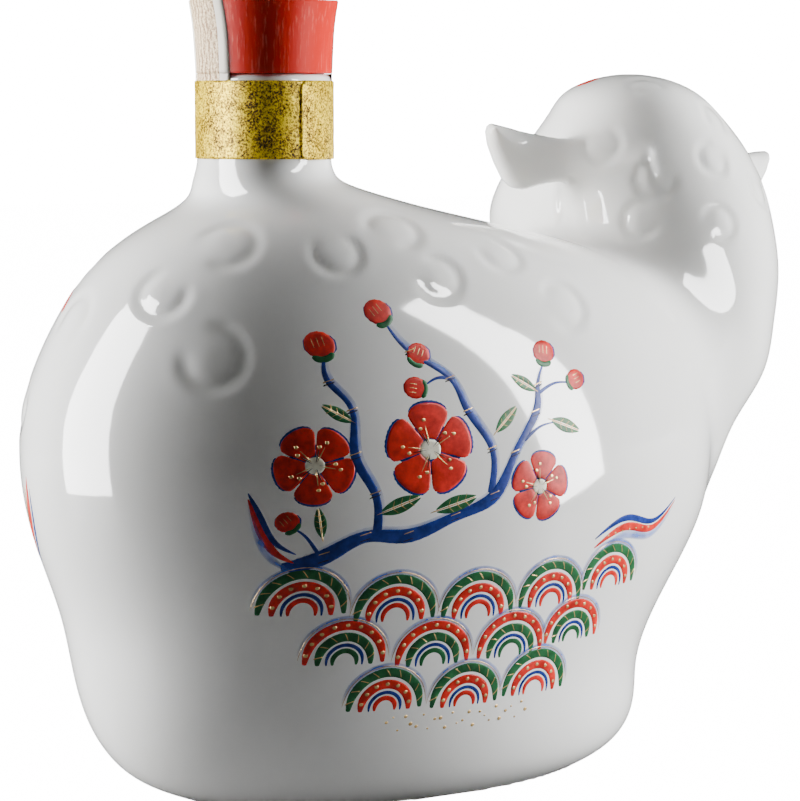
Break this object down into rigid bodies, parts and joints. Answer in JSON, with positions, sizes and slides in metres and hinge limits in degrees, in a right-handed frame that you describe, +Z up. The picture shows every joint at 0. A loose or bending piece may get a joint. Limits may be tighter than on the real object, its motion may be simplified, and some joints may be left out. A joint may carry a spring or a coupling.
{
  "type": "figural liquor decanter",
  "caption": "Hollow porcelain sheep decanter with a bottle neck on its back, a pull-out stopper under a flared wooden cap, a foil neck label and a paper seal strip.",
  "frame": {"origin": "centre of the foot, on the surface that the decanter stands on", "axes": "+X from the rump to the chest, +Y the side that the sheep's face looks to, +Z up along the bottle neck"},
  "size_m": [0.172, 0.09, 0.1498],
  "materials": {
    "porcelain": "glossy white glaze with enamel decoration",
    "gold_foil": "gold foil, slightly crinkled",
    "seal_paper": "uncoated paper with a fine line pattern",
    "red_wood": "red lacquer, semi-gloss, with the grain showing",
    "plug_plastic": "natural polyethylene"
  },
  "bodies": {
    "decanter": {"porcelain_body": "porcelain", "neck_label": "gold_foil", "seal_tail_rear": "seal_paper", "seal_tail_front": "seal_paper"},
    "stopper": {"stopper_cap": "red_wood", "stopper_plug": "plug_plastic", "seal_strip_cap": "seal_paper"}
  },
  "joints": [
    {"name": "stopper_pull", "type": "slide", "parent": "decanter", "child": "stopper", "axis": [0, 0, 1], "range_m": [0, 0.03]}
  ]
}
